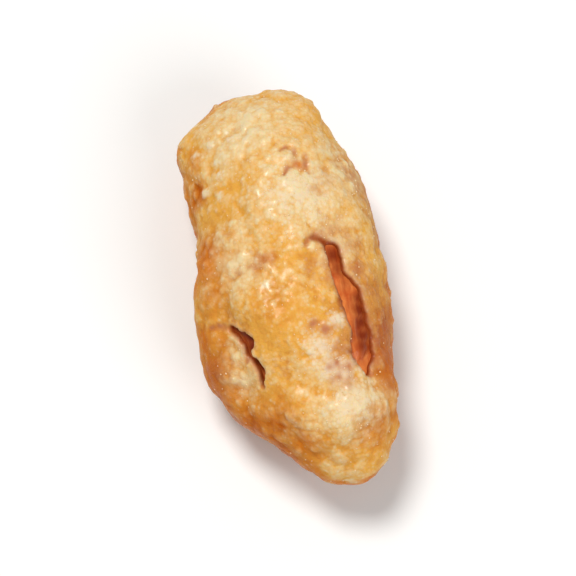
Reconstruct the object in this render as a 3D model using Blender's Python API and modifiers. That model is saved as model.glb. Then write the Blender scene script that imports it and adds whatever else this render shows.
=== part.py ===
# A peanut in a rough toffee coat, lying on its flatter side.
# +Y runs along the nut towards its blunt end, +X is its right side seen from above,
# and +Z is up, towards the side with the long tear in the toffee.
# Sizes are in millimetres. Angles go round the nut's length: 0 is its right side,
# 90 its upper side, 180 its left side and 270 the side it lies on.

from collections import namedtuple
import math

import bmesh
import bpy
from mathutils import Matrix, Vector, noise

MM = 0.001

# Overall form of the coat, where an end's roundness of 2 is an ellipse
COAT_LENGTH = 28.0
COAT_WIDTH = 12.7
COAT_THICKNESS = 11.8
COAT_ROUNDNESS = (3.4, 1.8)     # of the blunt end and of the tip
THINNEST_COAT = 0.35            # outside the gap over the nut's skin, away from the tears
THIN_COAT_RELIEF = 0.6          # share of the relief that is left where the toffee is thinnest

# Overall form of the nut inside, which lies nearer the long tear
KERNEL_LENGTH = 23.4
KERNEL_WIDTH = 11.0
KERNEL_THICKNESS = 9.3
KERNEL_ROUNDNESS = (2.6, 1.7)
KERNEL_SHIFT = Vector((0.0, 0.1, 0.6))
KERNEL_GAP = 0.3                # between the nut and the toffee round it

# Sideways swing of the nut's middle line: how far, where along it, and over what length
SWINGS = ((-0.75, -2.1, 4.5), (-0.9, 11.9, 3.0), (0.7, -14.0, 3.5))

# Relief of the toffee, as a size across and a height
SWELL_SIZE, SWELL_HEIGHT = 4.2, 0.42
COBBLE_SIZE, COBBLE_HEIGHT = 2.1, 0.42
PEBBLE_SIZE, PEBBLE_HEIGHT = 0.95, 0.17

# A tear goes down through the toffee, past the nut's skin
TEAR_BELOW_SKIN = 0.9
TEAR_WALL = (0.8, 1.2)          # where its wall ends and starts, as shares of its half width
TEAR_LIP = 0.10                 # height of the rolled rim round it
THINNING_SPREAD = 1.1           # how far from a tear the toffee is thinner
RAGGED_SIZE, RAGGED_EDGE = 0.8, 0.32

# A groove is a shallow mark in the toffee
GROOVE_DEPTH = 0.34
GROOVE_WALL = (0.3, 1.7)

# The flat that the nut lies on, as a depth cut off the coat
REST_FLAT_DEPTH = 0.1
TABLE_SIZE = 60.0

# Mesh density
COAT_CELLS = 56                 # cells along each edge of the cube that becomes the coat
KERNEL_CELLS = 14
TOFFEE_VOXEL = 0.2
COAT_KEPT_FACES = 0.103         # share of the faces that are left after simplifying

Lump = namedtuple("Lump", "along angle height spread")
Tear = namedtuple("Tear", "path half_widths thinning")
Groove = namedtuple("Groove", "path half_widths")

# Thick places, and hollows with a negative height
LUMPS = (
    Lump(-4.2, 178, 1.40, 3.1),     # belly of the left side
    Lump(-8.0, 190, 0.65, 2.2),
    Lump(-12.0, 205, 0.40, 1.6),
    Lump(3.9, 182, -0.25, 1.5),     # waist of the left side
    Lump(11.5, 178, 0.95, 1.6),     # left corner of the blunt end
    Lump(13.4, 120, -0.30, 1.5),
    Lump(12.3, 20, 0.55, 1.4),      # sloping top of the blunt end
    Lump(6.4, 5, -1.10, 2.6),
    Lump(0.6, 5, 0.35, 2.3),        # shoulder of the right side
    Lump(-8.6, 0, -0.40, 2.4),      # right side of the tip
    Lump(5.2, 98, 0.45, 2.4),       # thick pale sugar over the blunt half
    Lump(-9.6, 70, 0.50, 1.9),      # thick sugar below the long tear
    Lump(0.5, 118, 0.25, 2.2),
    Lump(-2.6, 28, -0.40, 2.1),     # thin toffee beside the long tear
    Lump(-5.6, 142, -0.70, 1.8),    # thin toffee round the crack
    Lump(-11.6, 110, 0.25, 1.5),
    Lump(-1.5, 318, 0.40, 2.4),
    Lump(7.0, 300, 0.35, 2.2),
    Lump(8.0, 228, 0.30, 2.0),
    Lump(-10.0, 300, 0.30, 1.8),
)

TEARS = (
    # Long tear of the upper side
    Tear(((0.4, 65), (-0.5, 64), (-1.7, 62), (-2.8, 56), (-3.9, 54), (-4.9, 53), (-5.6, 53), (-6.4, 55),
          (-7.2, 54), (-7.8, 54)),
         (0.46, 0.40, 0.40, 0.66, 0.70, 0.64, 0.70, 0.86, 0.54, 0.32), 0.6),
    # Thin crack of the upper left
    Tear(((-2.9, 144), (-3.5, 139), (-4.2, 135), (-4.8, 138), (-5.3, 137), (-5.8, 136), (-6.2, 135),
          (-6.6, 138), (-7.1, 141)),
         (0.20, 0.22, 0.40, 0.32, 0.22, 0.24, 0.28, 0.22, 0.20), 0.5),
    # Tears that the photograph does not show: low on the left, by the tip, and at the blunt end
    Tear(((3.5, 222), (1.6, 215), (-0.8, 220), (-2.6, 214)), (0.35, 0.60, 0.70, 0.32), 0.4),
    Tear(((-7.0, 352), (-8.4, 345), (-9.6, 352)), (0.28, 0.46, 0.28), 0.3),
    Tear(((11.2, 350), (10.6, 325), (9.6, 310)), (0.36, 0.62, 0.36), 0.3),
)

GROOVES = (
    # Hook at the long tear's end, and the faint start and side branch of the crack
    Groove(((1.1, 82), (1.5, 79), (1.6, 75), (1.2, 70), (0.8, 66)), (0.14, 0.17, 0.18, 0.18, 0.20)),
    Groove(((-2.5, 157), (-2.7, 150), (-2.9, 144)), (0.15, 0.22, 0.18)),
    Groove(((-4.8, 138), (-5.3, 143)), (0.18, 0.13)),
    # Two small arcs over the blunt half, and one on the underside
    Groove(((8.0, 85), (8.2, 80), (7.9, 76), (7.3, 77), (6.8, 80), (6.7, 84), (6.1, 88)),
           (0.14, 0.15, 0.16, 0.16, 0.17, 0.18, 0.13)),
    Groove(((7.4, 70), (6.8, 72), (6.4, 73), (6.0, 72)), (0.17, 0.18, 0.16, 0.13)),
    Groove(((2.4, 262), (1.0, 256), (0.2, 262)), (0.18, 0.30, 0.18)),
)

COAT_COLOUR = (0.80, 0.42, 0.13, 1.0)
SKIN_COLOUR = (0.28, 0.055, 0.018, 1.0)


def clear_scene():
    for obj in list(bpy.data.objects):
        bpy.data.objects.remove(obj, do_unlink=True)


def make_material(name, colour, roughness):
    material = bpy.data.materials.new(name)
    material.use_nodes = True
    shader = material.node_tree.nodes["Principled BSDF"]
    shader.inputs["Base Color"].default_value = colour
    shader.inputs["Roughness"].default_value = roughness
    shader.inputs["Metallic"].default_value = 0.0
    return material


def smooth_step(low, high, value):
    share = min(max((value - low) / (high - low), 0.0), 1.0)
    return share * share * (3.0 - 2.0 * share)


def bell(distance, spread):
    return math.exp(-0.5 * (distance / spread) ** 2)


def middle_line(y):
    # Sideways place of the nut's middle at a distance y along it
    return sum(swing * bell(y - centre, spread) for swing, centre, spread in SWINGS)


def nut_form(direction, length, width, thickness, roundness):
    # A rounded spindle: an ellipsoid made blunter or sharper at each end
    along = direction.y
    power = roundness[0] if along > 0 else roundness[1]
    ring_share = 1.0 - along * along
    if ring_share > 1e-6:
        bluntness = math.sqrt(max(1.0 - abs(along) ** power, 0.0) / ring_share)
    else:
        bluntness = math.sqrt(power / 2.0)
    y = 0.5 * length * along
    x = 0.5 * width * direction.x * bluntness + middle_line(y)
    z = 0.5 * thickness * direction.z * bluntness
    return Vector((x, y, z))


def coat_form(direction):
    return nut_form(direction, COAT_LENGTH, COAT_WIDTH, COAT_THICKNESS, COAT_ROUNDNESS)


def kernel_form(direction):
    form = nut_form(direction, KERNEL_LENGTH, KERNEL_WIDTH, KERNEL_THICKNESS, KERNEL_ROUNDNESS)
    return form + KERNEL_SHIFT


def outward_at(point):
    # Away from the nut's middle line, and along it near the ends
    return (point - Vector((middle_line(point.y), 0.82 * point.y, 0.0))).normalized()


def place_on_coat(along, angle):
    # The point of the plain coat at a distance along the nut and an angle round it
    share = along / (0.5 * COAT_LENGTH)
    ring = math.sqrt(1.0 - share * share)
    turn = math.radians(angle)
    return coat_form(Vector((ring * math.cos(turn), share, ring * math.sin(turn))))


LUMP_PLACES = [(place_on_coat(lump.along, lump.angle), lump) for lump in LUMPS]
TEAR_PLACES = [([place_on_coat(*point) for point in tear.path], tear) for tear in TEARS]
GROOVE_PLACES = [([place_on_coat(*point) for point in groove.path], groove) for groove in GROOVES]


def cobbles(point, size):
    # Rounded stones side by side, from 0 between them to 1 on their tops
    nearest = noise.voronoi(point / size)[0][0]
    return 1.0 - min(nearest, 1.0) ** 2


def relief_height(point):
    swell = noise.noise(point / SWELL_SIZE + Vector((3.1, 7.7, 1.3)))
    cobble = cobbles(point + Vector((5.0, 2.0, 9.0)), COBBLE_SIZE) - 0.6
    pebble = cobbles(point + Vector((1.0, 8.0, 4.0)), PEBBLE_SIZE) - 0.6
    return SWELL_HEIGHT * swell + COBBLE_HEIGHT * cobble + PEBBLE_HEIGHT * pebble


def reach_from(point, places, half_widths):
    # Distance from the middle line of a tear or groove: as a share of its half width, and in mm
    share_of_width = 1e9
    distance = 1e9
    stretches = zip(places, places[1:], half_widths, half_widths[1:])
    for start, end, first_width, last_width in stretches:
        run = end - start
        share = min(max((point - start).dot(run) / run.length_squared, 0.0), 1.0)
        away = (point - start - share * run).length
        half_width = first_width + share * (last_width - first_width)
        share_of_width = min(share_of_width, away / half_width)
        distance = min(distance, away)
    return share_of_width, distance


def coat_point(direction):
    # One point of the toffee's outer surface
    plain = coat_form(direction)
    outward = outward_at(plain)
    skin = kernel_form(direction)
    ragged = RAGGED_EDGE * noise.noise(plain / RAGGED_SIZE)
    relief = relief_height(plain)
    height = relief
    for place, lump in LUMP_PLACES:
        height += lump.height * bell((plain - place).length, lump.spread)
    closed_share = 1.0
    for places, tear in TEAR_PLACES:
        reach, distance = reach_from(plain, places, tear.half_widths)
        closed_share = min(closed_share, smooth_step(*TEAR_WALL, reach + ragged))
        height += TEAR_LIP * bell(reach - 1.8, 0.5) - tear.thinning * bell(distance, THINNING_SPREAD)
    thickness = (plain + height * outward - skin).dot(outward)
    least = KERNEL_GAP + THINNEST_COAT + THIN_COAT_RELIEF * max(relief, 0.0)
    height += max(least - thickness, 0.0)
    for places, groove in GROOVE_PLACES:
        reach, _ = reach_from(plain, places, groove.half_widths)
        height -= GROOVE_DEPTH * (1.0 - smooth_step(*GROOVE_WALL, reach + ragged))
    surface = plain + height * outward
    depth = (surface - skin).dot(outward) + TEAR_BELOW_SKIN
    return surface - (1.0 - closed_share) * depth * outward


def hollow_point(direction):
    # The inside of the toffee: the nut's skin, moved out by the gap
    skin = kernel_form(direction)
    return skin + KERNEL_GAP * outward_at(skin - KERNEL_SHIFT)


def ball_mesh(name, cells):
    # A cube cut into even cells and blown up to a ball of radius 1
    shape = bmesh.new()
    bmesh.ops.create_cube(shape, size=2.0)
    bmesh.ops.subdivide_edges(shape, edges=shape.edges[:], cuts=cells - 1, use_grid_fill=True)
    for vertex in shape.verts:
        even = [math.tan(0.25 * math.pi * value) for value in vertex.co]
        vertex.co = Vector(even).normalized()
    bmesh.ops.recalc_face_normals(shape, faces=shape.faces[:])
    bmesh.ops.triangulate(shape, faces=shape.faces[:])
    mesh = bpy.data.meshes.new(name)
    shape.to_mesh(mesh)
    shape.free()
    return mesh


def shaped_ball(name, cells, point_at, collection, material):
    lift = Vector((0.0, 0.0, 0.5 * COAT_THICKNESS - REST_FLAT_DEPTH))
    mesh = ball_mesh(name, cells)
    for vertex in mesh.vertices:
        vertex.co = (point_at(vertex.co.normalized()) + lift) * MM
    mesh.materials.append(material)
    mesh.shade_smooth()
    obj = bpy.data.objects.new(name, mesh)
    collection.objects.link(obj)
    return obj


def table_below(collection):
    # A block whose top is the surface that the nut lies on
    shape = bmesh.new()
    size = TABLE_SIZE * MM
    bmesh.ops.create_cube(shape, size=size, matrix=Matrix.Translation((0.0, 0.0, -0.5 * size)))
    mesh = bpy.data.meshes.new("table")
    shape.to_mesh(mesh)
    shape.free()
    obj = bpy.data.objects.new("table", mesh)
    collection.objects.link(obj)
    return obj


def new_collection(name):
    collection = bpy.data.collections.new(name)
    bpy.context.scene.collection.children.link(collection)
    return collection


def centre_over_origin(guide, objects):
    # Moves the meshes so that the guide's box is centred on the Z axis
    across = [vertex.co.x for vertex in guide.data.vertices]
    along = [vertex.co.y for vertex in guide.data.vertices]
    middle = Vector((0.5 * (min(across) + max(across)), 0.5 * (min(along) + max(along)), 0.0))
    for obj in objects:
        obj.data.transform(Matrix.Translation(-middle))


def add_cut(obj, name, cutter):
    cutter.hide_render = True
    cutter.display_type = "WIRE"
    cut = obj.modifiers.new(name, "BOOLEAN")
    cut.operation = "DIFFERENCE"
    cut.solver = "EXACT"
    cut.object = cutter


def finish_coat(coat, hollow, table):
    # Even cells on the tears' walls and softened edges, then the hollow and the flat
    even = coat.modifiers.new("even_cells", "REMESH")
    even.mode = "VOXEL"
    even.voxel_size = TOFFEE_VOXEL * MM
    even.use_smooth_shade = True
    soften = coat.modifiers.new("soften", "SMOOTH")
    soften.factor = 0.5
    soften.iterations = 1
    simplify = coat.modifiers.new("simplify", "DECIMATE")
    simplify.decimate_type = "COLLAPSE"
    simplify.ratio = COAT_KEPT_FACES
    add_cut(coat, "nut_hollow", hollow)
    add_cut(coat, "rest_flat", table)


def build():
    clear_scene()
    parts = new_collection("toffee_covered_nut")
    cutters = new_collection("cutters")
    toffee = make_material("toffee", COAT_COLOUR, 0.35)
    skin = make_material("nut_skin", SKIN_COLOUR, 0.45)

    coat = shaped_ball("toffee_coat", COAT_CELLS, coat_point, parts, toffee)
    kernel = shaped_ball("peanut_kernel", KERNEL_CELLS, kernel_form, parts, skin)
    hollow = shaped_ball("kernel_hollow", KERNEL_CELLS, hollow_point, cutters, skin)
    table = table_below(cutters)
    centre_over_origin(coat, (coat, kernel, hollow))
    finish_coat(coat, hollow, table)


build()
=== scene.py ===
# A toffee coated peanut that lies on its side, seen from above.
import math
from collections import namedtuple

import bmesh
import bpy
import numpy as np
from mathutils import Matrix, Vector, noise
from mathutils.bvhtree import BVHTree


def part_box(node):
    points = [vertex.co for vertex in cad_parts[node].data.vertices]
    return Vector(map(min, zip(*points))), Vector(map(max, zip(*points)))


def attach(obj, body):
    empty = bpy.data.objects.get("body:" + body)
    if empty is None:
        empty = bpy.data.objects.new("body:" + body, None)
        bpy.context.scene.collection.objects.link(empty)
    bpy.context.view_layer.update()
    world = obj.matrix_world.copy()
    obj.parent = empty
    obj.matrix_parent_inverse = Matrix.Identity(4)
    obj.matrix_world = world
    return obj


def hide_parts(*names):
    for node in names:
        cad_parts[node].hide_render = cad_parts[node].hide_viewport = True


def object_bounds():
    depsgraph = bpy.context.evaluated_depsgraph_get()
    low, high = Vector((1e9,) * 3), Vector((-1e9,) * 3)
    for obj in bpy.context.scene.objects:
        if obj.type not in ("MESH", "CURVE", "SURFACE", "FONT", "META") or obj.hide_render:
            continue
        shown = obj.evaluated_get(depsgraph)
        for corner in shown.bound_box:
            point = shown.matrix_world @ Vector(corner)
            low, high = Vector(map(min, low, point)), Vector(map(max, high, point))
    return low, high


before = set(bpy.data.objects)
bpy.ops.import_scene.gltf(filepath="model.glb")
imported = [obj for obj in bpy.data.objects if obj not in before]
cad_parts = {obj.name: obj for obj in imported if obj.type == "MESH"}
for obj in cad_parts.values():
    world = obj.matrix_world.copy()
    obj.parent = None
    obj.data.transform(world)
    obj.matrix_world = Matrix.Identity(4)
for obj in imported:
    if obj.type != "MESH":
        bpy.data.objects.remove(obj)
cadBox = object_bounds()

mm = 0.001
Lump = namedtuple("Lump", "along angle height spread")
Tear = namedtuple("Tear", "path halfWidths thinning skinRise")
Groove = namedtuple("Groove", "path halfWidths depth")
Bead = namedtuple("Bead", "along angle spread height")
Zone = namedtuple("Zone", "along angle spread strength")


# The nut's form, in mm. Along runs from the tip to the blunt end, and an angle goes round
# the length: 0 is the right side, 90 the upper side, 180 the left and 270 the underside.
nutShape = {
    "length": 28.0,
    "width": 12.7,
    "thickness": 11.8,
    "roundness": (3.4, 1.8),          # of the blunt end and of the tip
    "restDepth": 0.1,                 # how far the flat that it lies on cuts in
    "outwardStart": 0.82,             # share of the way along that an outward direction starts from
    # Bends of the middle line: how far to the right, where along, and over what length
    "swings": ((-0.75, -2.1, 4.5), (-0.9, 11.9, 3.0), (0.7, -14.0, 3.5)),
}

kernelShape = {
    "length": 23.4,
    "width": 11.0,
    "thickness": 9.3,
    "roundness": (2.6, 1.7),
    "shift": (0.0, 0.1, 0.6),
    "glaze": 0.25,                    # syrup that has soaked the skin and fills the gap round it
    "riseSize": 0.9,                  # of the waves where the skin rises into a tear
    "riseShares": (0.8, 0.8),         # of the rise on average, and of its waves
    "riseEdge": (0.8, 2.4),           # where the rise lessens and ends, as shares of the half width
    "cells": 72,
    "veins": (3300.0, 420.0, 3300.0),       # on each metre across, along and through the nut
    "veinHeight": 0.04,
    "wrinkles": (1100.0, 520.0, 1100.0),
    "wrinkleHeight": 0.06,
}

coatShape = {
    "cells": 104,
    "swell": (4.2, 0.42, (3.1, 7.7, 1.3)),  # size across, height, and where its pattern starts
    "cobble": (2.1, 0.42, (5.0, 2.0, 9.0)),
    "pebble": (0.95, 0.17, (1.0, 8.0, 4.0)),
    "stoneLevel": 0.6,                # share of a stone's height that is sunk
    "thinnest": 0.65,                 # from the bare nut to the outside
    "thinRelief": 0.6,                # share of the relief left where the toffee is thinnest
    "thinningSpread": 1.1,            # how far from a tear the toffee is thinner
    "tearWall": (0.75, 1.3),          # where its wall ends and starts, as shares of its half width
    "tearLip": (0.10, 1.8, 0.5),      # height, and place and spread as shares of the half width
    "tearDepth": 0.9,                 # below the bare nut's skin
    "grooveWall": (0.1, 2.0),
    "ragged": (0.8, 0.32),            # waves in an edge: their size and reach
    "raggedFine": (0.34, 0.26),
    "voxel": 0.129,
    "softenRounds": 2,
    "meanRounds": 21,                 # rounds of softening that the rise of the relief is measured from
    "riseRange": 0.16,                # from the darkest hollow to the palest top
    "knobsPerSquare": 0.9,            # soft round sugar knobs on each square mm, where they are thickest
    "knobsElsewhere": 0.3,            # as a share of that
    "knobRadius": 0.30,
    "knobScales": ((0.6, 0.6, 0.2), (1.35, 1.35, 0.45)),  # least and most, the last out of the surface
    "knobSeed": 5,
    "grainSize": 0.46,
    "grainHeight": 0.05,
    "grainSmoothness": 0.35,
    "grainLevel": 0.4,                # square of the distance from a grain's middle that stays level
    "grainPatches": (2.6, 0.35, 0.62, 0.25),  # size, where grain is least and most, and its least share
    "fineSize": 0.2,
    "fineHeight": 0.018,
}

lumps = (
    Lump(-4.2, 178, 1.40, 3.1),       # belly of the left side
    Lump(-8.0, 190, 0.65, 2.2),
    Lump(-12.0, 205, 0.40, 1.6),
    Lump(3.9, 182, -0.25, 1.5),       # waist of the left side
    Lump(11.5, 178, 0.95, 1.6),       # left corner of the blunt end
    Lump(13.4, 120, -0.30, 1.5),
    Lump(12.3, 20, 0.55, 1.4),
    Lump(6.4, 5, -1.10, 2.6),
    Lump(0.6, 5, 0.35, 2.3),          # shoulder of the right side
    Lump(-8.6, 0, -0.40, 2.4),        # right side of the tip
    Lump(5.2, 98, 0.45, 2.4),         # thick pale sugar over the blunt half
    Lump(-9.6, 70, 0.50, 1.9),        # thick sugar below the long tear
    Lump(0.5, 118, 0.25, 2.2),
    Lump(-2.6, 28, -0.40, 2.1),       # thin toffee beside the long tear
    Lump(-5.6, 142, -0.70, 1.8),      # thin toffee round the crack
    Lump(-11.6, 110, 0.25, 1.5),
    Lump(-1.5, 318, 0.40, 2.4),
    Lump(7.0, 300, 0.35, 2.2),
    Lump(8.0, 228, 0.30, 2.0),
    Lump(-10.0, 300, 0.30, 1.8),
)

tears = (
    # Long tear of the upper side
    Tear(((0.4, 65), (-0.5, 64), (-1.7, 62), (-2.8, 56), (-3.9, 54), (-4.9, 53), (-5.6, 53), (-6.4, 55),
          (-7.2, 54), (-7.8, 54)),
         (0.46, 0.40, 0.40, 0.66, 0.70, 0.64, 0.70, 0.86, 0.54, 0.32), 0.6, 0.24),
    # Thin crack of the upper left
    Tear(((-2.9, 144), (-3.5, 139), (-4.2, 135), (-4.8, 138), (-5.3, 137), (-5.8, 136), (-6.2, 135),
          (-6.6, 138), (-7.1, 141)),
         (0.20, 0.26, 0.48, 0.32, 0.22, 0.24, 0.30, 0.22, 0.20), 0.5, 0.0),
    # Low on the left, by the tip, and at the blunt end
    Tear(((3.5, 222), (1.6, 215), (-0.8, 220), (-2.6, 214)), (0.35, 0.60, 0.70, 0.32), 0.4, 0.15),
    Tear(((-7.0, 352), (-8.4, 345), (-9.6, 352)), (0.28, 0.46, 0.28), 0.3, 0.1),
    Tear(((11.2, 350), (10.6, 325), (9.6, 310)), (0.36, 0.62, 0.36), 0.3, 0.15),
)

grooves = (
    # Hook at the long tear's end, and the faint start and side branch of the crack
    Groove(((1.1, 82), (1.5, 79), (1.6, 75), (1.2, 70), (0.8, 66)), (0.14, 0.17, 0.18, 0.18, 0.20), 0.26),
    Groove(((-2.3, 157), (-2.4, 151), (-2.9, 144)), (0.12, 0.20, 0.18), 0.18),
    Groove(((-4.8, 138), (-5.3, 143)), (0.18, 0.13), 0.22),
    # Two small arcs over the blunt half, and one on the underside
    Groove(((8.0, 85), (8.2, 80), (7.9, 76), (7.3, 77), (6.8, 80), (6.7, 84), (6.1, 88)),
           (0.10, 0.14, 0.16, 0.16, 0.18, 0.18, 0.08), 0.14),
    Groove(((7.4, 70), (6.8, 72), (6.4, 73), (6.0, 72)), (0.14, 0.18, 0.16, 0.08), 0.14),
    Groove(((2.4, 262), (1.0, 256), (0.2, 262)), (0.18, 0.30, 0.18), 0.24),
)

# Round drops of sugar that catch the light; their pale, frosty colour is partly a painted highlight
beads = (
    Bead(-4.3, 70, 0.34, 0.14), Bead(7.4, 83, 0.22, 0.08), Bead(7.6, 130, 0.24, 0.12),
    Bead(8.6, 130, 0.22, 0.10), Bead(9.9, 115, 0.28, 0.10), Bead(9.9, 132, 0.24, 0.10),
    Bead(6.1, 131, 0.26, 0.12), Bead(9.7, 147, 0.20, 0.10), Bead(-1.0, 108, 0.28, 0.10),
    Bead(9.5, 103, 0.24, 0.08), Bead(6.8, 145, 0.22, 0.10), Bead(-9.9, 72, 0.30, 0.10),
)

# Where the toffee's looks change over the nut
toffeeZones = {
    # White, frosty sugar
    "frost": (Zone(-4.1, 71, 0.5, 1.0), Zone(-5.7, 86, 0.9, 0.8), Zone(-7.4, 80, 1.0, 0.85),
              Zone(-9.4, 78, 1.3, 0.5), Zone(4.6, 84, 1.7, 0.5), Zone(0.0, 236, 1.6, 0.7),
              Zone(9.0, 280, 1.5, 0.5)),
    # Pale cream, where the sugar is thick
    "pale": (Zone(10.4, 100, 2.8, 0.85), Zone(12.2, 112, 2.0, 0.7), Zone(5.0, 80, 2.5, 1.0),
             Zone(9.3, 122, 2.0, 0.7), Zone(6.5, 45, 2.4, 0.7), Zone(1.8, 62, 1.8, 0.75),
             Zone(1.2, 125, 1.8, 0.85), Zone(-0.6, 78, 1.3, 0.4), Zone(-6.8, 112, 1.2, 0.3),
             Zone(-6.3, 155, 1.0, 0.9), Zone(-4.9, 148, 0.8, 0.7), Zone(-5.7, 90, 0.7, 0.7),
             Zone(-7.2, 91, 0.8, 0.8), Zone(-9.7, 82, 1.8, 0.9), Zone(-9.4, 62, 1.5, 0.8),
             Zone(-13.2, 112, 1.2, 0.35), Zone(4.0, 265, 4.0, 0.6), Zone(-6.0, 300, 2.6, 0.6),
             Zone(9.0, 200, 2.6, 0.4)),
    # Clear amber syrup with little sugar; along the nut's edges these zones are partly painted shade
    "amber": (Zone(2.0, 154, 1.6, 0.85), Zone(-0.6, 150, 1.2, 0.6), Zone(-3.0, 168, 1.2, 0.85),
              Zone(-4.8, 172, 1.3, 1.0), Zone(-6.8, 183, 1.5, 1.0), Zone(-9.0, 176, 1.8, 0.95),
              Zone(-9.6, 150, 1.5, 0.85), Zone(-11.4, 145, 1.3, 0.75), Zone(-7.6, 24, 1.7, 1.0),
              Zone(0.5, 110, 0.6, 0.5), Zone(6.75, 75.5, 0.30, 1.0), Zone(-11.6, 52, 1.5, 0.6),
              Zone(6.4, 170, 1.6, 0.3), Zone(-2.6, 108, 1.4, 0.35), Zone(-6.0, 22, 1.5, 0.7),
              Zone(-4.0, 230, 2.4, 0.5), Zone(2.0, 330, 2.2, 0.45), Zone(12.0, 230, 2.0, 0.5)),
    # Where soft round knobs crowd together
    "knobs": (Zone(9.0, 125, 2.6, 1.0), Zone(4.5, 130, 2.4, 0.8), Zone(-0.5, 100, 2.0, 0.7),
              Zone(-9.6, 70, 2.0, 0.7), Zone(3.0, 280, 4.0, 0.7), Zone(-5.0, 20, 2.5, 0.5)),
    # Thin brown glaze through which the skin shows
    "thin": (Zone(-1.0, 49, 0.5, 0.8), Zone(-2.4, 36, 1.1, 0.6), Zone(-3.8, 35, 0.8, 0.8),
             Zone(-5.7, 36, 1.0, 0.95), Zone(-4.6, 26, 1.6, 0.9), Zone(-6.6, 30, 1.3, 0.85),
             Zone(-4.8, 171, 1.0, 0.5), Zone(-1.4, 208, 1.2, 0.5)),
    # Small pink-brown stains, where syrup of the skin's colour has soaked the sugar
    "stains": (Zone(-4.4, 87, 0.35, 0.75), Zone(-4.8, 79, 0.38, 0.8), Zone(-5.3, 72, 0.45, 0.5),
               Zone(-6.1, 76, 0.5, 0.7), Zone(-7.1, 82, 0.4, 0.8), Zone(-7.3, 73, 0.5, 0.6),
               Zone(-8.0, 82, 0.4, 0.75), Zone(-8.4, 77, 0.45, 0.6), Zone(5.6, 63, 0.5, 0.35),
               Zone(4.8, 69, 0.4, 0.4), Zone(-0.3, 72, 0.3, 0.4), Zone(-1.5, 71, 0.3, 0.35),
               Zone(0.5, 53, 0.4, 0.5), Zone(-0.9, 51, 0.4, 0.5)),
    # The dark red edge of the long tear's low end
    "soaked": (Zone(-6.2, 66, 0.33, 0.85), Zone(-6.9, 65, 0.30, 0.7)),
}

# Where the skin in the tears is darkest; along the thin crack of the upper left this is painted shade
skinZones = (
    Zone(0.1, 64, 0.6, 0.9), Zone(-1.0, 60, 0.6, 0.65), Zone(-2.2, 57, 0.6, 0.35), Zone(-3.4, 49, 0.4, 0.8),
    Zone(-4.4, 48, 0.55, 1.0), Zone(-5.4, 48, 0.55, 1.0), Zone(-6.4, 48, 0.55, 1.0), Zone(-7.2, 51, 0.5, 0.9),
    Zone(-6.5, 59, 0.4, 0.35), Zone(-3.4, 140, 0.7, 1.0), Zone(-4.4, 136, 0.7, 1.0), Zone(-5.6, 137, 0.7, 1.0),
    Zone(-6.8, 138, 0.7, 1.0),
)


# Measures of the form

def bell(distance, spread):
    return np.exp(-0.5 * (distance / spread) ** 2)


def smoothStep(low, high, value):
    share = np.clip((value - low) / (high - low), 0.0, 1.0)
    return share * share * (3.0 - 2.0 * share)


def middleLine(y):
    return sum(swing * bell(y - centre, spread) for swing, centre, spread in nutShape["swings"])


def nutForm(directions, shape):
    # A rounded spindle: an ellipsoid made blunter or sharper at each end
    x, along, z = directions.T
    power = np.where(along > 0, shape["roundness"][0], shape["roundness"][1])
    ringShare = np.maximum(1.0 - along ** 2, 1e-6)
    bluntness = np.sqrt(np.maximum(1.0 - np.abs(along) ** power, 1e-6 * power / 2) / ringShare)
    y = 0.5 * shape["length"] * along
    form = np.stack([0.5 * shape["width"] * x * bluntness + middleLine(y),
                     y,
                     0.5 * shape["thickness"] * z * bluntness], axis=1)
    return form + np.array(shape.get("shift", (0.0, 0.0, 0.0)))


def outwardAt(points):
    x, y, z = points.T
    away = np.stack([x - middleLine(y), y - nutShape["outwardStart"] * y, z], axis=1)
    return away / np.linalg.norm(away, axis=1, keepdims=True)


def placeOnCoat(along, angle):
    share = along / (0.5 * nutShape["length"])
    ring = math.sqrt(1.0 - share * share)
    turn = math.radians(angle)
    return nutForm(np.array([[ring * math.cos(turn), share, ring * math.sin(turn)]]), nutShape)[0]


def onPlainForm(points):
    # Where each point of the finished surface lies on the form without its relief
    share = np.clip(points[:, 1] / (0.5 * nutShape["length"]), -0.998, 0.998)
    turn = np.arctan2(points[:, 2] / nutShape["thickness"],
                      (points[:, 0] - middleLine(points[:, 1])) / nutShape["width"])
    ring = np.sqrt(1.0 - share ** 2)
    return nutForm(np.stack([ring * np.cos(turn), share, ring * np.sin(turn)], axis=1), nutShape)


def bellAt(points, mark):
    # 1 at a lump, bead or zone, and falling off round it
    return bell(np.linalg.norm(points - placeOnCoat(mark.along, mark.angle), axis=1), mark.spread)


def zoneShare(points, zones):
    return np.maximum.reduce([zone.strength * bellAt(points, zone) for zone in zones])


def noiseAt(points, size, start=(0.0, 0.0, 0.0)):
    start = Vector(start)
    return np.array([noise.noise(Vector(point) / size + start) for point in points])


def cobbleAt(points, size, start):
    # Rounded stones side by side, from 0 between them to 1 on their tops
    moved = (points + np.array(start)) / size
    nearest = np.array([noise.voronoi(Vector(point))[0][0] for point in moved])
    return 1.0 - np.minimum(nearest, 1.0) ** 2


def reachFrom(points, mark):
    # Distance from the middle line of a tear or groove: as a share of its half width, and in mm
    places = [placeOnCoat(*point) for point in mark.path]
    shareOfWidth = np.full(len(points), 1e9)
    distance = np.full(len(points), 1e9)
    stretches = zip(places, places[1:], mark.halfWidths, mark.halfWidths[1:])
    for start, end, firstWidth, lastWidth in stretches:
        run = end - start
        share = np.clip((points - start) @ run / (run @ run), 0.0, 1.0)
        away = np.linalg.norm(points - start - share[:, None] * run, axis=1)
        shareOfWidth = np.minimum(shareOfWidth, away / (firstWidth + share * (lastWidth - firstWidth)))
        distance = np.minimum(distance, away)
    return shareOfWidth, distance


def reliefHeight(points):
    size, height, start = coatShape["swell"]
    relief = height * noiseAt(points, size, start)
    for size, height, start in (coatShape["cobble"], coatShape["pebble"]):
        relief += height * (cobbleAt(points, size, start) - coatShape["stoneLevel"])
    return relief


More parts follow.
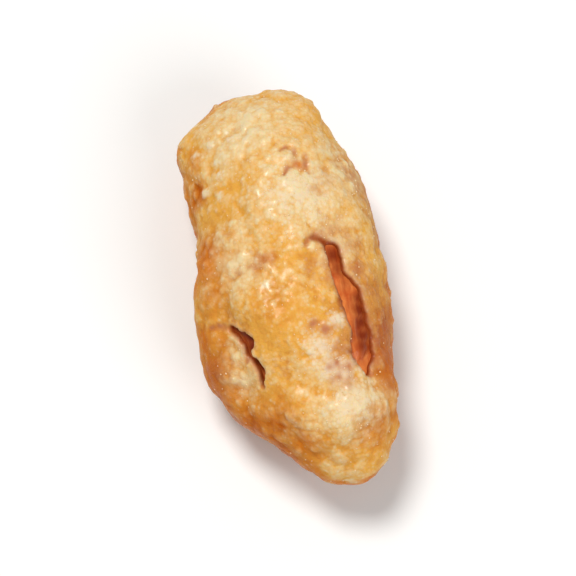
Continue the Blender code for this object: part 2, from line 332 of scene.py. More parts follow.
def kernelPoints(directions):
    # The nut in its glazed skin, which rises a little where the toffee is torn
    bare = nutForm(directions, kernelShape)
    plain = nutForm(directions, nutShape)
    height = np.full(len(bare), kernelShape["glaze"])
    average, waves = kernelShape["riseShares"]
    uneven = average + waves * noiseAt(plain, kernelShape["riseSize"], (6.0, 2.0, 8.0))
    for tear in tears:
        height += tear.skinRise * uneven * (1.0 - smoothStep(*kernelShape["riseEdge"], reachFrom(plain, tear)[0]))
    return bare + height[:, None] * outwardAt(bare - np.array(kernelShape["shift"]))


def coatPoints(directions):
    # The toffee's outer surface, in mm, and how closed it is: 0 in a tear and 1 away from it
    plain = nutForm(directions, nutShape)
    skin = nutForm(directions, kernelShape)
    outward = outwardAt(plain)
    raggedSize, raggedEdge = coatShape["ragged"]
    fineSize, fineEdge = coatShape["raggedFine"]
    ragged = raggedEdge * noiseAt(plain, raggedSize) + fineEdge * noiseAt(plain, fineSize, (2.0, 5.0, 1.0))
    relief = reliefHeight(plain)
    height = relief.copy()
    for mark in lumps + beads:
        height += mark.height * bellAt(plain, mark)
    closedShare = np.ones(len(plain))
    lipHeight, lipPlace, lipSpread = coatShape["tearLip"]
    for tear in tears:
        reach, distance = reachFrom(plain, tear)
        closedShare = np.minimum(closedShare, smoothStep(*coatShape["tearWall"], reach + ragged))
        height += lipHeight * bell(reach - lipPlace, lipSpread)
        height -= tear.thinning * bell(distance, coatShape["thinningSpread"])
    thickness = np.sum((plain + height[:, None] * outward - skin) * outward, axis=1)
    least = coatShape["thinnest"] + coatShape["thinRelief"] * np.maximum(relief, 0.0)
    height += np.maximum(least - thickness, 0.0)
    for groove in grooves:
        reach = reachFrom(plain, groove)[0] + ragged
        height -= groove.depth * (1.0 - smoothStep(*coatShape["grooveWall"], reach))
    surface = plain + height[:, None] * outward
    depth = np.sum((surface - skin) * outward, axis=1) + coatShape["tearDepth"]
    return surface - ((1.0 - closedShare) * depth)[:, None] * outward, closedShare


# Meshes

def ballMesh(name, cells):
    # A cube cut into even cells and blown up to a ball of radius 1
    shape = bmesh.new()
    bmesh.ops.create_cube(shape, size=2.0)
    bmesh.ops.subdivide_edges(shape, edges=shape.edges[:], cuts=cells - 1, use_grid_fill=True)
    for vertex in shape.verts:
        even = [math.tan(0.25 * math.pi * value) for value in vertex.co]
        vertex.co = Vector(even).normalized()
    bmesh.ops.recalc_face_normals(shape, faces=shape.faces[:])
    return finishedMesh(name, shape)


def finishedMesh(name, shape):
    mesh = bpy.data.meshes.new(name)
    shape.to_mesh(mesh)
    shape.free()
    return mesh


def readPoints(mesh):
    points = np.empty(len(mesh.vertices) * 3, np.float32)
    mesh.vertices.foreach_get("co", points)
    return points.reshape(-1, 3).astype(float)


def writePoints(mesh, points):
    mesh.vertices.foreach_set("co", points.astype(np.float32).ravel())
    mesh.update()


def keepAboveFloor(mesh):
    points = readPoints(mesh)
    points[:, 2] = np.maximum(points[:, 2], 0.0)
    writePoints(mesh, points)


def storeValues(mesh, name, values):
    attribute = mesh.attributes.new(name, "FLOAT", "POINT")
    attribute.data.foreach_set("value", values.astype(np.float32))


def newObject(name, data):
    obj = bpy.data.objects.new(name, data)
    bpy.context.scene.collection.objects.link(obj)
    return obj


def applyModifiers(obj):
    # The evaluated mesh takes the place of the live modifiers
    bpy.context.view_layer.update()
    evaluated = obj.evaluated_get(bpy.context.evaluated_depsgraph_get())
    mesh = bpy.data.meshes.new_from_object(evaluated)
    obj.modifiers.clear()
    obj.data = mesh
    return mesh


# Node helpers

def newTree(name, kind, inputs, outputs):
    tree = bpy.data.node_groups.new(name, kind)
    for label, socket, value in inputs:
        made = tree.interface.new_socket(label, in_out="INPUT", socket_type=socket)
        if value is not None:
            made.default_value = value
    for label, socket in outputs:
        tree.interface.new_socket(label, in_out="OUTPUT", socket_type=socket)
    return tree, addNode(tree, "NodeGroupInput").outputs


def fillSockets(tree, node, values):
    # values pairs an input, by name or number, with a socket to join to it or a value
    for key, value in values:
        if isinstance(value, bpy.types.NodeSocket):
            tree.links.new(value, node.inputs[key])
        else:
            node.inputs[key].default_value = value


def addNode(tree, kind, values=(), **settings):
    node = tree.nodes.new(kind)
    for key, value in settings.items():
        setattr(node, key, value)
    fillSockets(tree, node, values)
    return node


def mathNode(tree, operation, first, second=0.0, third=0.0, clamp=False):
    node = addNode(tree, "ShaderNodeMath", ((0, first), (1, second), (2, third)),
                   operation=operation, use_clamp=clamp)
    return node.outputs[0]


def multiplied(tree, vector, factors):
    node = addNode(tree, "ShaderNodeVectorMath", ((0, vector), (1, factors)), operation="MULTIPLY")
    return node.outputs[0]


def scaledVector(tree, vector, scale):
    node = addNode(tree, "ShaderNodeVectorMath", ((0, vector), ("Scale", scale)), operation="SCALE")
    return node.outputs[0]


def countedIn(tree, vector, size):
    # The vector in steps of a size, which is a number or a socket
    if isinstance(size, bpy.types.NodeSocket):
        return scaledVector(tree, vector, mathNode(tree, "DIVIDE", 1.0, size))
    return scaledVector(tree, vector, 1.0 / size)


def noiseNode(tree, vector, detail, roughness=0.5, distortion=0.0):
    node = addNode(tree, "ShaderNodeTexNoise", (("Vector", vector), ("Scale", 1.0), ("Detail", detail),
                   ("Roughness", roughness), ("Distortion", distortion)))
    return node.outputs["Fac"]


def aboveMiddle(tree, value, height):
    # Noise as a height that swings evenly to both sides of 0
    return mathNode(tree, "MULTIPLY", mathNode(tree, "SUBTRACT", value, 0.5), height)


# Geometry node trees

def newGeometryTree(name, inputs):
    return newTree(name, "GeometryNodeTree", (
        ("Geometry", "NodeSocketGeometry", None), *inputs, ("Material", "NodeSocketMaterial", None),
    ), (("Geometry", "NodeSocketGeometry"),))


def finishTree(tree, geometry, material):
    finish = addNode(tree, "GeometryNodeSetMaterial", (("Geometry", geometry), ("Material", material)))
    addNode(tree, "NodeGroupOutput", (("Geometry", finish.outputs["Geometry"]),))
    return tree


def addGeometryNodes(obj, tree, values):
    modifier = obj.modifiers.new(tree.name, "NODES")
    modifier.node_group = tree
    sockets = {item.name: item.identifier for item in tree.interface.items_tree if item.in_out == "INPUT"}
    for label, value in values.items():
        modifier[sockets[label]] = value


def scatteredPoints(tree, given, shareName, perSquare):
    # Points over the surface, crowded where the mesh's own values say so
    share = addNode(tree, "GeometryNodeInputNamedAttribute", (("Name", shareName),), data_type="FLOAT")
    density = mathNode(tree, "MULTIPLY", share.outputs["Attribute"], perSquare)
    return addNode(tree, "GeometryNodeDistributePointsOnFaces", (
        ("Mesh", given["Geometry"]), ("Density", density), ("Seed", given["Seed"]))).outputs


def randomVector(tree, low, high, seed):
    node = addNode(tree, "FunctionNodeRandomValue", (("Min", low), ("Max", high), ("Seed", seed)),
                   data_type="FLOAT_VECTOR")
    return node.outputs["Value"]


def realCopies(tree, points, mesh, rotation, scale):
    copies = addNode(tree, "GeometryNodeInstanceOnPoints", (
        ("Points", points), ("Instance", mesh), ("Rotation", rotation), ("Scale", scale)))
    real = addNode(tree, "GeometryNodeRealizeInstances", (("Geometry", copies.outputs["Instances"]),))
    return real.outputs["Geometry"]


def movedOutward(tree, geometry, height):
    outward = addNode(tree, "GeometryNodeInputNormal").outputs[0]
    move = addNode(tree, "GeometryNodeSetPosition", (
        ("Geometry", geometry), ("Offset", scaledVector(tree, outward, height))))
    return move.outputs["Geometry"]


def knobTree():
    # Rounded sugar knobs, half sunk in the toffee, that the remesh then melts into it
    tree, given = newGeometryTree("sugarKnobs", (
        ("Knobs per square metre", "NodeSocketFloat", 1.0),
        ("Radius", "NodeSocketFloat", 0.0003),
        ("Seed", "NodeSocketInt", 1)))
    points = scatteredPoints(tree, given, "knobShare", given["Knobs per square metre"])
    ball = addNode(tree, "GeometryNodeMeshIcoSphere", (("Radius", given["Radius"]), ("Subdivisions", 2)))
    knobs = realCopies(tree, points["Points"], ball.outputs["Mesh"], points["Rotation"],
                       randomVector(tree, *coatShape["knobScales"], given["Seed"]))
    join = addNode(tree, "GeometryNodeJoinGeometry")
    tree.links.new(given["Geometry"], join.inputs["Geometry"])
    tree.links.new(knobs, join.inputs["Geometry"])
    return finishTree(tree, join.outputs["Geometry"], given["Material"])


def grainTree():
    # Fine rounded grains over the surface, as real relief
    tree, given = newGeometryTree("sugarGrain", (
        ("Grain size", "NodeSocketFloat", 0.0005),
        ("Grain height", "NodeSocketFloat", 0.00007),
        ("Fine size", "NodeSocketFloat", 0.0002),
        ("Fine height", "NodeSocketFloat", 0.00002)))
    place = addNode(tree, "GeometryNodeInputPosition").outputs[0]
    reach = addNode(tree, "ShaderNodeTexVoronoi", (
        ("Vector", countedIn(tree, place, given["Grain size"])), ("Scale", 1.0),
        ("Smoothness", coatShape["grainSmoothness"])), feature="SMOOTH_F1").outputs["Distance"]
    domed = mathNode(tree, "SUBTRACT", coatShape["grainLevel"], mathNode(tree, "MULTIPLY", reach, reach))
    patchSize, patchLow, patchHigh, leastShare = coatShape["grainPatches"]
    share = addNode(tree, "ShaderNodeMapRange", (
        ("Value", noiseNode(tree, countedIn(tree, place, patchSize * mm), 1.0)), ("From Min", patchLow),
        ("From Max", patchHigh), ("To Min", leastShare), ("To Max", 1.0))).outputs["Result"]
    coarse = mathNode(tree, "MULTIPLY", mathNode(tree, "MULTIPLY", domed, given["Grain height"]), share)
    fine = noiseNode(tree, countedIn(tree, place, given["Fine size"]), 2.0)
    small = aboveMiddle(tree, fine, mathNode(tree, "MULTIPLY", given["Fine height"], 2.0))
    height = mathNode(tree, "ADD", mathNode(tree, "MULTIPLY", coarse, 2.0), small)
    return finishTree(tree, movedOutward(tree, given["Geometry"], height), given["Material"])


def veinNoise(tree, place):
    return noiseNode(tree, multiplied(tree, place, kernelShape["veins"]), 3.0, distortion=0.4)


def skinTree():
    # Long shallow veins and wrinkles of the nut's papery skin
    tree, given = newGeometryTree("skinVeins", (
        ("Vein height", "NodeSocketFloat", 0.00003),
        ("Wrinkle height", "NodeSocketFloat", 0.00005)))
    place = addNode(tree, "GeometryNodeInputPosition").outputs[0]
    wrinkles = noiseNode(tree, multiplied(tree, place, kernelShape["wrinkles"]), 2.0)
    height = mathNode(tree, "ADD", aboveMiddle(tree, veinNoise(tree, place), given["Vein height"]),
                      aboveMiddle(tree, wrinkles, given["Wrinkle height"]))
    moved = movedOutward(tree, given["Geometry"], mathNode(tree, "MULTIPLY", height, 2.0))
    return finishTree(tree, moved, given["Material"])


crystalShape = {
    "perSquare": 5.0,                 # on each square mm of the frostiest toffee
    "size": 0.13,
    "scales": ((0.5, 0.5, 0.5), (1.4, 1.1, 1.1)),  # least and most
    "seed": 11,
    "golden": (0.80, 0.50, 0.20, 1.0),
    "white": (0.86, 0.72, 0.50, 1.0),
    "patches": (0.5, 0.06, 2.0),      # size, size of the pits, and contrast
    "roughness": 0.16,
}


def crystalTree():
    # Tiny blunt sugar crystals that stand half out of the toffee
    tree, given = newGeometryTree("sugarCrystals", (
        ("Crystals per square metre", "NodeSocketFloat", 1.0),
        ("Size", "NodeSocketFloat", 0.00015),
        ("Seed", "NodeSocketInt", 1)))
    points = scatteredPoints(tree, given, "crystalShare", given["Crystals per square metre"])
    block = addNode(tree, "GeometryNodeMeshIcoSphere", (("Radius", 0.5), ("Subdivisions", 1)))
    scale = scaledVector(tree, randomVector(tree, *crystalShape["scales"], given["Seed"]), given["Size"])
    turn = randomVector(tree, (0.0, 0.0, 0.0), (6.28, 6.28, 6.28), given["Seed"])
    crystals = realCopies(tree, points["Points"], block.outputs["Mesh"], turn, scale)
    return finishTree(tree, crystals, given["Material"])


# Materials

def mottleGroup():
    # Soft irregular patches, from 0 to 1, and a bump height of fine pits
    tree, given = newTree("mottle", "ShaderNodeTree", (
        ("Vector", "NodeSocketVector", None),
        ("Patch size", "NodeSocketFloat", 0.002),
        ("Pit size", "NodeSocketFloat", 0.0001),
        ("Contrast", "NodeSocketFloat", 2.0),
    ), (("Patches", "NodeSocketFloat"), ("Pits", "NodeSocketFloat")))
    patches = noiseNode(tree, countedIn(tree, given["Vector"], given["Patch size"]), 4.0, 0.55, 0.5)
    away = mathNode(tree, "SUBTRACT", patches, 0.5)
    sharp = mathNode(tree, "MULTIPLY_ADD", away, given["Contrast"], 0.5, clamp=True)
    pits = noiseNode(tree, countedIn(tree, given["Vector"], given["Pit size"]), 3.0, 0.6)
    addNode(tree, "NodeGroupOutput", (("Patches", sharp), ("Pits", pits)))
    return tree


mottle = mottleGroup()


def mottleNode(tree, place, patchSize, pitSize, contrast):
    return addNode(tree, "ShaderNodeGroup", (("Vector", place), ("Patch size", patchSize * mm),
                   ("Pit size", pitSize * mm), ("Contrast", contrast)), node_tree=mottle).outputs


def mixColour(tree, share, first, second):
    # The mix node's colour sockets are its numbers 6 and 7, and its colour comes out of number 2
    node = addNode(tree, "ShaderNodeMix", ((0, share), (6, first), (7, second)), data_type="RGBA")
    return node.outputs[2]


def blendOf(tree, sources, weights, start=0.0):
    # The sum of each source times its weight, kept between 0 and 1
    total = start
    for name, weight in weights.items():
        total = mathNode(tree, "MULTIPLY_ADD", sources[name], weight, total)
    return mathNode(tree, "ADD", total, 0.0, clamp=True)


def attributeValue(tree, name):
    return addNode(tree, "ShaderNodeAttribute", attribute_name=name).outputs["Fac"]


def inRange(tree, share, low, high):
    node = addNode(tree, "ShaderNodeMapRange", (("Value", share), ("To Min", low), ("To Max", high)))
    return node.outputs["Result"]


def bumpNormal(tree, height, strength, depth):
    node = addNode(tree, "ShaderNodeBump", (("Height", height), ("Strength", strength), ("Distance", depth * mm)))
    return node.outputs["Normal"]


def newMaterial(name):
    material = bpy.data.materials.new(name)
    material.use_nodes = True
    return material, material.node_tree, material.node_tree.nodes["Principled BSDF"]


toffeeLook = {
    "cream": (0.79, 0.62, 0.345, 1.0),
    "golden": (0.76, 0.38, 0.065, 1.0),
    # Clear amber syrup, also used for the painted shade on the sides and edges
    "amber": (0.63, 0.172, 0.009, 1.0),
    "darkerAmber": (0.40, 0.075, 0.004, 1.0),       # darker amber, in patches and in the hollows of the relief
    "glaze": (0.46, 0.117, 0.020, 1.0),       # thin brown syrup over the skin
    # The tears' walls, where the toffee thins to the skin, darkened with painted shade
    "tearWall": (0.28, 0.048, 0.008, 1.0),
    "frost": (0.79, 0.63, 0.43, 1.0),
    "mark": (0.52, 0.20, 0.085, 1.0),         # skin that shows through a groove
    "patches": (2.4, 0.09, 2.2),              # size, size of the pits, and contrast
    "spots": (0.75, 0.2, 2.4),
    "crumbSize": 0.27,
    "crumbHeight": -0.9,
    "bump": (0.6, 0.09),                      # strength, and depth in mm
    "roughness": (0.30, 0.55),
    "coat": (0.2, 0.9),                       # on dull patches and on wet ones
    "coatRoughness": 0.26,
    "specular": 0.02,
    "ior": 1.5,
    "subsurface": 0.3,
    "subsurfaceRadius": (1.0, 0.50, 0.20),
    "subsurfaceScale": 0.0008,
}

# How much each thing adds to a share of the toffee's look, after the share that it starts from
toffeeShares = {
    "pale": (-0.86, {"pale": 1.0, "patches": 0.3, "spots": 0.5, "rise": 0.9, "tone": 0.3, "reach": -0.4}),
    "deep": (0.0, {"patches": 0.9, "rise": -0.8, "spots": 0.35}),
    "amber": (0.35, {"amber": 1.2, "spots": -0.3, "rise": -0.6}),
    "thin": (0.0, {"thin": 1.2, "spots": -0.4, "tone": 0.2}),
    "frost": (-0.30, {"frost": 1.4, "spots": 0.4, "tone": 0.4, "reach": -0.8}),
    "raised": (-0.55, {"rise": 2.0}),
}


def toffeeMaterial():
    material, tree, shader = newMaterial("toffeeSugar")
    place = addNode(tree, "ShaderNodeTexCoord").outputs["Object"]
    broad = mottleNode(tree, place, *toffeeLook["patches"])
    small = mottleNode(tree, place, *toffeeLook["spots"])
    crumbs = addNode(tree, "ShaderNodeTexVoronoi", (
        ("Vector", countedIn(tree, place, toffeeLook["crumbSize"] * mm)), ("Scale", 1.0))).outputs
    reach = crumbs["Distance"]
    sources = {name: attributeValue(tree, name) for name in ("pale", "amber", "thin", "frost", "rise")}
    sources["patches"] = broad["Patches"]
    sources["spots"] = small["Patches"]
    sources["tone"] = addNode(tree, "ShaderNodeSeparateColor", ((0, crumbs["Color"]),)).outputs[0]
    sources["reach"] = reach
    shares = {name: blendOf(tree, sources, weights, start) for name, (start, weights) in toffeeShares.items()}

    colour = mixColour(tree, shares["pale"], toffeeLook["golden"], toffeeLook["cream"])
    syrup = mixColour(tree, shares["deep"], toffeeLook["amber"], toffeeLook["darkerAmber"])
    colour = mixColour(tree, shares["amber"], colour, syrup)
    colour = mixColour(tree, shares["thin"], colour, toffeeLook["glaze"])
    colour = mixColour(tree, shares["frost"], colour, toffeeLook["frost"])
    # Skin showing through grooves and stains, then the painted shade of the tears' walls
    for name in ("mark", "tearWall"):
        colour = mixColour(tree, attributeValue(tree, name), colour, toffeeLook[name])
    height = mathNode(tree, "MULTIPLY_ADD", mathNode(tree, "MULTIPLY", reach, reach),
                      toffeeLook["crumbHeight"], broad["Pits"])
    wet = mathNode(tree, "MULTIPLY", inRange(tree, sources["patches"], *toffeeLook["coat"]),
                   attributeValue(tree, "wet"))
    fillSockets(tree, shader, (
        ("Base Color", colour),
        ("Roughness", inRange(tree, sources["spots"], *toffeeLook["roughness"])),
        ("Normal", bumpNormal(tree, height, *toffeeLook["bump"])),
        ("Coat Weight", mathNode(tree, "MULTIPLY", wet, shares["raised"])),
        ("Coat Roughness", toffeeLook["coatRoughness"]),
        ("Specular IOR Level", toffeeLook["specular"]),
        ("IOR", toffeeLook["ior"]),
        ("Subsurface Weight", toffeeLook["subsurface"]),
        ("Subsurface Radius", toffeeLook["subsurfaceRadius"]),
        ("Subsurface Scale", toffeeLook["subsurfaceScale"])))
    return material


skinLook = {
    "light": (0.72, 0.22, 0.05, 1.0),
    "deep": (0.50, 0.075, 0.012, 1.0),
    # The darkest skin, also painted shade deep in the thin crack
    "dark": (0.21, 0.024, 0.003, 1.0),
    "patches": (1.1, 0.1, 2.2),
    "lightShare": (-0.8, {"veins": 1.6, "patches": 1.0}),
    "darkShare": (0.15, {"dark": 1.2, "veins": -0.5}),
    "bump": (0.3, 0.04),
    "roughness": (0.30, 0.5),
    "coat": 0.2,
    "coatRoughness": 0.12,
    "specular": 0.1,
    "subsurface": 0.15,
    "subsurfaceRadius": (1.0, 0.35, 0.15),
    "subsurfaceScale": 0.0005,
}


def skinMaterial():
    material, tree, shader = newMaterial("glazedSkin")
    place = addNode(tree, "ShaderNodeTexCoord").outputs["Object"]
    patch = mottleNode(tree, place, *skinLook["patches"])
    sources = {"veins": veinNoise(tree, place), "patches": patch["Patches"], "dark": attributeValue(tree, "dark")}
    start, weights = skinLook["lightShare"]
    colour = mixColour(tree, blendOf(tree, sources, weights, start), skinLook["deep"], skinLook["light"])
    start, weights = skinLook["darkShare"]
    colour = mixColour(tree, blendOf(tree, sources, weights, start), colour, skinLook["dark"])
    fillSockets(tree, shader, (
        ("Base Color", colour),
        ("Roughness", inRange(tree, patch["Patches"], *skinLook["roughness"])),
        ("Normal", bumpNormal(tree, patch["Pits"], *skinLook["bump"])),
        ("Coat Weight", skinLook["coat"]),
        ("Coat Roughness", skinLook["coatRoughness"]),
        ("Specular IOR Level", skinLook["specular"]),
        ("Subsurface Weight", skinLook["subsurface"]),
        ("Subsurface Radius", skinLook["subsurfaceRadius"]),
        ("Subsurface Scale", skinLook["subsurfaceScale"])))
    return material


def crystalMaterial():
    material, tree, shader = newMaterial("sugarCrystal")
    place = addNode(tree, "ShaderNodeTexCoord").outputs["Object"]
    patch = mottleNode(tree, place, *crystalShape["patches"])
    colour = mixColour(tree, patch["Patches"], crystalShape["golden"], crystalShape["white"])
    fillSockets(tree, shader, (("Base Color", colour), ("Roughness", crystalShape["roughness"])))
    return material


# The pieces

def makeCoat(material):
    print("toffee coat: outer form")
    mesh = ballMesh("toffeeCoat", coatShape["cells"])
    points, closedShare = coatPoints(readPoints(mesh))
    low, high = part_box("toffee_coat")
    middle = 0.5 * (low + high) / mm
    ownMiddle = 0.5 * (points.min(axis=0) + points.max(axis=0))
    shift = np.array([middle.x - ownMiddle[0], middle.y - ownMiddle[1],
                      0.5 * nutShape["thickness"] - nutShape["restDepth"]])
    writePoints(mesh, (points + shift) * mm)
    elsewhere = coatShape["knobsElsewhere"]
    crowded = zoneShare(onPlainForm(points), toffeeZones["knobs"])
    storeValues(mesh, "knobShare", closedShare * (elsewhere + (1.0 - elsewhere) * crowded))
    mesh.shade_smooth()
    coat = newObject("toffeeCoat", mesh)

    print("toffee coat: knobs, remesh and grain")
    addGeometryNodes(coat, knobTree(), {
        "Knobs per square metre": coatShape["knobsPerSquare"] / mm ** 2,
        "Radius": coatShape["knobRadius"] * mm, "Material": material, "Seed": coatShape["knobSeed"]})
    even = coat.modifiers.new("evenCells", "REMESH")
    even.mode = "VOXEL"
    even.voxel_size = coatShape["voxel"] * mm
    even.use_smooth_shade = True
    soften = coat.modifiers.new("soften", "SMOOTH")
    soften.factor = 0.5
    soften.iterations = coatShape["softenRounds"]
    addGeometryNodes(coat, grainTree(), {
        "Grain size": coatShape["grainSize"] * mm, "Grain height": coatShape["grainHeight"] * mm,
        "Fine size": coatShape["fineSize"] * mm, "Fine height": coatShape["fineHeight"] * mm,
        "Material": material})
    keepAboveFloor(applyModifiers(coat))
    return coat, shift


def makeKernel(material, shift):
    print("nut: skin with veins")
    mesh = ballMesh("nutKernel", kernelShape["cells"])
    directions = readPoints(mesh)
    # How dark the skin is; along the thin crack it is painted shade
    storeValues(mesh, "dark", zoneShare(nutForm(directions, nutShape), skinZones))
    writePoints(mesh, (kernelPoints(directions) + shift) * mm)
    mesh.shade_smooth()
    kernel = newObject("nutKernel", mesh)
    addGeometryNodes(kernel, skinTree(), {
        "Vein height": kernelShape["veinHeight"] * mm,
        "Wrinkle height": kernelShape["wrinkleHeight"] * mm, "Material": material})
    applyModifiers(kernel)
    return kernel


def riseAboveMean(mesh, points):
    # How far each point stands out of the softened surface, in mm
    ends = np.empty(len(mesh.edges) * 2, np.int32)
    mesh.edges.foreach_get("vertices", ends)
    first, second = ends.reshape(-1, 2).T
    count = np.bincount(first, minlength=len(points)) + np.bincount(second, minlength=len(points))
    normals = np.empty(len(points) * 3, np.float32)
    mesh.vertices.foreach_get("normal", normals)
    even = points.copy()
    for _ in range(coatShape["meanRounds"]):
        total = np.stack([np.bincount(first, even[second, axis], len(points))
                          + np.bincount(second, even[first, axis], len(points)) for axis in range(3)], axis=1)
        even = 0.5 * (even + total / count[:, None])
    return np.sum((points - even) * normals.reshape(-1, 3), axis=1)


# How the zones, the clusters of sugar and the marks spread over the toffee. A pair named for
# facing says how far up the surface faces where its effect starts and where it is full.
coatPaint = {
    "wander": (1.7, 0.5),             # waves in the zones' edges: their size and reach
    "clusters": (2.2, 0.8, 0.7),      # their size, the size of their finer parts, and its share
    "clusterEdge": (-0.2, 0.75),
    "clusterFacing": (0.40, -0.05),
    "clusterPale": 0.55,
    "clusterFrost": 0.25,
    "clusterCrystals": 0.5,
    "clusterCover": 0.7,              # share of the amber that a cluster hides
    # Painted shade: amber on the sides that turn away from the top, full where the surface faces level and downward
    "paintedSideShade": 0.95,
    "sideShadeFacing": (0.60, -0.05),
    "sideShadeWaves": (0.35, 0.3, 4.0),   # share of the waves above, and share and size of broader ones
    "thinToffee": (0.36, 0.60),       # its thickness where it looks thin, and where that ends
    "thinShare": 0.4,
    "wallToffee": (0.12, 0.40),       # thickness at a tear's wall, and where that ends; the painted shade of the walls lies there
    "unevenSize": 0.5,                # of weak and strong places in the marks
    "grooveMark": {"strength": 0.66, "swing": 0.9, "edge": (0.3, 2.2), "waves": 0.6},
    "rimMark": {"strength": 0.55, "swing": 0.8, "edge": (1.0, 2.2), "waves": 0.7},
    "stainStrength": 0.9,
    "stainSwing": 1.2,
    "dropFrostAndHighlight": 0.6,
    "paleCrystals": 0.25,
    "fewestCrystals": 0.02,
    "wetFacing": (0.35, 0.85),
    "leastWet": 0.25,
    "underFacing": (0.25, -0.05),
    "underWet": 0.8,
}


def markAlong(points, uneven, cuts, look):
    # The skin's colour along grooves or tears, weaker and stronger by turns
    reach = np.minimum.reduce([reachFrom(points, cut)[0] for cut in cuts]) + look["waves"] * uneven
    return (look["strength"] + look["swing"] * uneven) * (1.0 - smoothStep(*look["edge"], reach))


def paintCoat(coat, kernel, shift):
    # Where each look of the toffee is, as values at the mesh's points
    print("toffee coat: zones")
    mesh = coat.data
    points = readPoints(mesh) / mm - shift
    plain = onPlainForm(points)
    facing = outwardAt(points)[:, 2]
    wanderSize, wanderReach = coatPaint["wander"]
    wander = noiseAt(points, wanderSize, (4.0, 1.0, 6.0))
    wandered = plain + wanderReach * wander[:, None]
    # The amber zones are clear syrup, and along the edges partly painted shade
    clear, pale, thin, frost, soaked = (
        zoneShare(wandered, toffeeZones[name]) for name in ("amber", "pale", "thin", "frost", "soaked"))

    clusterSize, finerSize, finerShare = coatPaint["clusters"]
    crusted = (noiseAt(points, clusterSize, (8.0, 5.0, 2.0))
               + finerShare * noiseAt(points, finerSize, (3.0, 9.0, 4.0)))
    clusters = (smoothStep(*coatPaint["clusterEdge"], crusted)
                * smoothStep(*coatPaint["clusterFacing"], facing) * (1.0 - clear))
    # The drops' pale, frosty colour is partly a painted highlight
    drops = zoneShare(plain, [Zone(bead.along, bead.angle, bead.spread, 1.0) for bead in beads])
    storeValues(mesh, "pale", np.maximum.reduce([pale, coatPaint["clusterPale"] * clusters, drops]))
    storeValues(mesh, "frost", np.maximum.reduce([frost, coatPaint["dropFrostAndHighlight"] * drops,
                                                  coatPaint["clusterFrost"] * clusters]))

    # Painted shade: the sides, as they turn away from the top, are painted amber
    waveShare, broadShare, broadSize = coatPaint["sideShadeWaves"]
    shadedSides = smoothStep(*coatPaint["sideShadeFacing"], facing + waveShare * wander
                          + broadShare * noiseAt(points, broadSize, (1.0, 6.0, 3.0)))
    amber = np.maximum(clear, coatPaint["paintedSideShade"] * shadedSides)
    storeValues(mesh, "amber", amber * (1.0 - coatPaint["clusterCover"] * clusters))

    skin = BVHTree.FromObject(kernel, bpy.context.evaluated_depsgraph_get())
    thickness = np.array([skin.find_nearest(vertex.co)[3] for vertex in mesh.vertices]) / mm
    nearSkin = 1.0 - smoothStep(*coatPaint["thinToffee"], thickness)
    # Painted shade in the tears' walls where the toffee is thinnest, with the dark red soaked edge
    wall = np.maximum(1.0 - smoothStep(*coatPaint["wallToffee"], thickness), soaked)
    storeValues(mesh, "thin", np.maximum(thin, coatPaint["thinShare"] * nearSkin))
    storeValues(mesh, "tearWall", wall)
    storeValues(mesh, "rise", np.clip(0.5 + riseAboveMean(mesh, points) / coatShape["riseRange"], 0.0, 1.0))

    uneven = noiseAt(points, coatPaint["unevenSize"], (7.0, 3.0, 2.0))
    stains = ((coatPaint["stainStrength"] + coatPaint["stainSwing"] * uneven)
              * zoneShare(plain, toffeeZones["stains"]))
    marks = np.maximum.reduce([markAlong(plain, uneven, grooves, coatPaint["grooveMark"]),
                               markAlong(plain, uneven, tears, coatPaint["rimMark"]), stains])
    storeValues(mesh, "mark", marks.clip(0.0, 1.0))

    share = (frost + coatPaint["paleCrystals"] * pale + coatPaint["clusterCrystals"] * clusters
             + coatPaint["fewestCrystals"])
    storeValues(mesh, "crystalShare", np.clip(share, 0.0, 1.0) * (1.0 - wall))
    upper = smoothStep(*coatPaint["wetFacing"], facing) + coatPaint["leastWet"]
    under = coatPaint["underWet"] * smoothStep(*coatPaint["underFacing"], facing)
    storeValues(mesh, "wet", np.maximum.reduce([upper, under, drops]).clip(0.0, 1.0))


def makeCrystals(coat, material):
    print("sugar crystals")
    crystals = newObject("sugarCrystals", coat.data.copy())
    addGeometryNodes(crystals, crystalTree(), {
        "Crystals per square metre": crystalShape["perSquare"] / mm ** 2,
        "Size": crystalShape["size"] * mm, "Material": material, "Seed": crystalShape["seed"]})
    mesh = applyModifiers(crystals)
    mesh.shade_smooth()
    keepAboveFloor(mesh)
    return crystals


# Floor, light and camera

studio = {
    "floorColour": (0.86, 0.86, 0.855, 1.0),
    "floorRoughness": 0.6,
    "floorSize": 1.2,
    "azimuth": -12.4,
    "elevation": 75.0,
    "lens": 180.0,
    "clip": (0.01, 10.0),
    "nutShareOfFrame": 0.72,
    "nutLength": 28.4,
    "roomColour": (1.0, 0.995, 0.985, 1.0),
    "roomStrength": 0.30,
    # Place and size across in metres, power and colour
    "keyLight": ((-0.05, 0.11, 0.33), 0.12, 0.89, (1.0, 0.985, 0.96)),
    "fillLight": ((0.13, -0.21, 0.22), 0.22, 0.44, (1.0, 1.0, 1.0)),
}


def makeFloor():
    shape = bmesh.new()
    bmesh.ops.create_grid(shape, x_segments=1, y_segments=1, size=0.5 * studio["floorSize"])
    floor = newObject("floor", finishedMesh("floor", shape))
    material, tree, shader = newMaterial("paleFloor")
    fillSockets(tree, shader, (("Base Color", studio["floorColour"]), ("Roughness", studio["floorRoughness"])))
    floor.data.materials.append(material)


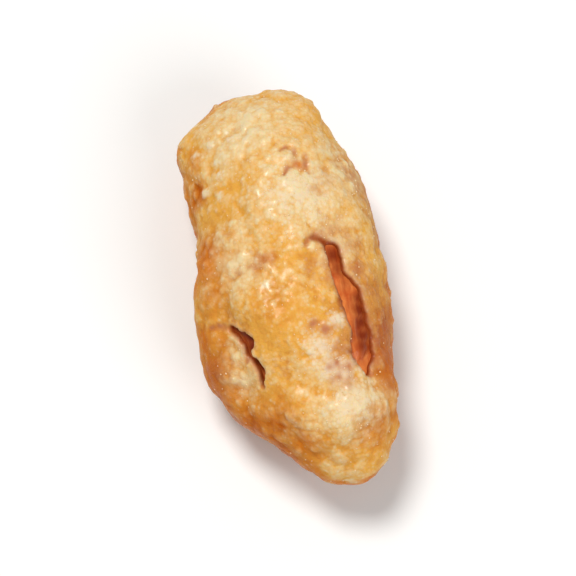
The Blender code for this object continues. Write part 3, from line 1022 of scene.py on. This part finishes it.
def aimAlong(obj, direction):
    obj.rotation_mode = "QUATERNION"
    obj.rotation_quaternion = direction.to_track_quat("-Z", "Y")


def addAreaLight(name, target):
    place, size, power, colour = studio[name]
    light = bpy.data.lights.new(name, "AREA")
    light.shape = "DISK"
    light.size = size
    light.energy = power
    light.color = colour
    obj = newObject(name, light)
    obj.location = place
    aimAlong(obj, target - Vector(place))


def addCamera(target):
    turn, rise = math.radians(studio["azimuth"]), math.radians(studio["elevation"])
    back = Vector((math.sin(turn) * math.cos(rise), -math.cos(turn) * math.cos(rise), math.sin(rise)))
    data = bpy.data.cameras.new("camera")
    data.lens = studio["lens"]
    data.clip_start, data.clip_end = studio["clip"]
    halfFrame = 0.5 * studio["nutLength"] * mm / studio["nutShareOfFrame"]
    distance = halfFrame / (0.5 * data.sensor_width / data.lens)
    camera = newObject("camera", data)
    camera.location = target + distance * back
    aimAlong(camera, -back)
    bpy.context.scene.camera = camera


def makeStudio():
    print("floor, light and camera")
    makeFloor()
    low, high = cadBox
    target = 0.5 * (low + high)
    for name in ("keyLight", "fillLight"):
        addAreaLight(name, target)
    world = bpy.data.worlds.new("paleRoom")
    world.use_nodes = True
    background = world.node_tree.nodes["Background"]
    fillSockets(world.node_tree, background, (("Color", studio["roomColour"]), ("Strength", studio["roomStrength"])))
    bpy.context.scene.world = world
    addCamera(target)
    bpy.context.scene.view_settings.view_transform = "Standard"
    bpy.context.scene.cycles.use_denoising = True


toffeeFinish = toffeeMaterial()
skinFinish = skinMaterial()
crystalFinish = crystalMaterial()

coat, shift = makeCoat(toffeeFinish)
kernel = makeKernel(skinFinish, shift)
paintCoat(coat, kernel, shift)
crystals = makeCrystals(coat, crystalFinish)

for piece, nodeName, slotName in ((coat, "toffee_coat", "toffee"), (kernel, "peanut_kernel", "nut_skin")):
    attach(piece, "root")
    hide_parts(nodeName)
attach(crystals, "root")

makeStudio()
for piece in (coat, kernel, crystals):
    piece.data.calc_loop_triangles()
    print(piece.name, len(piece.data.loop_triangles), "triangles")
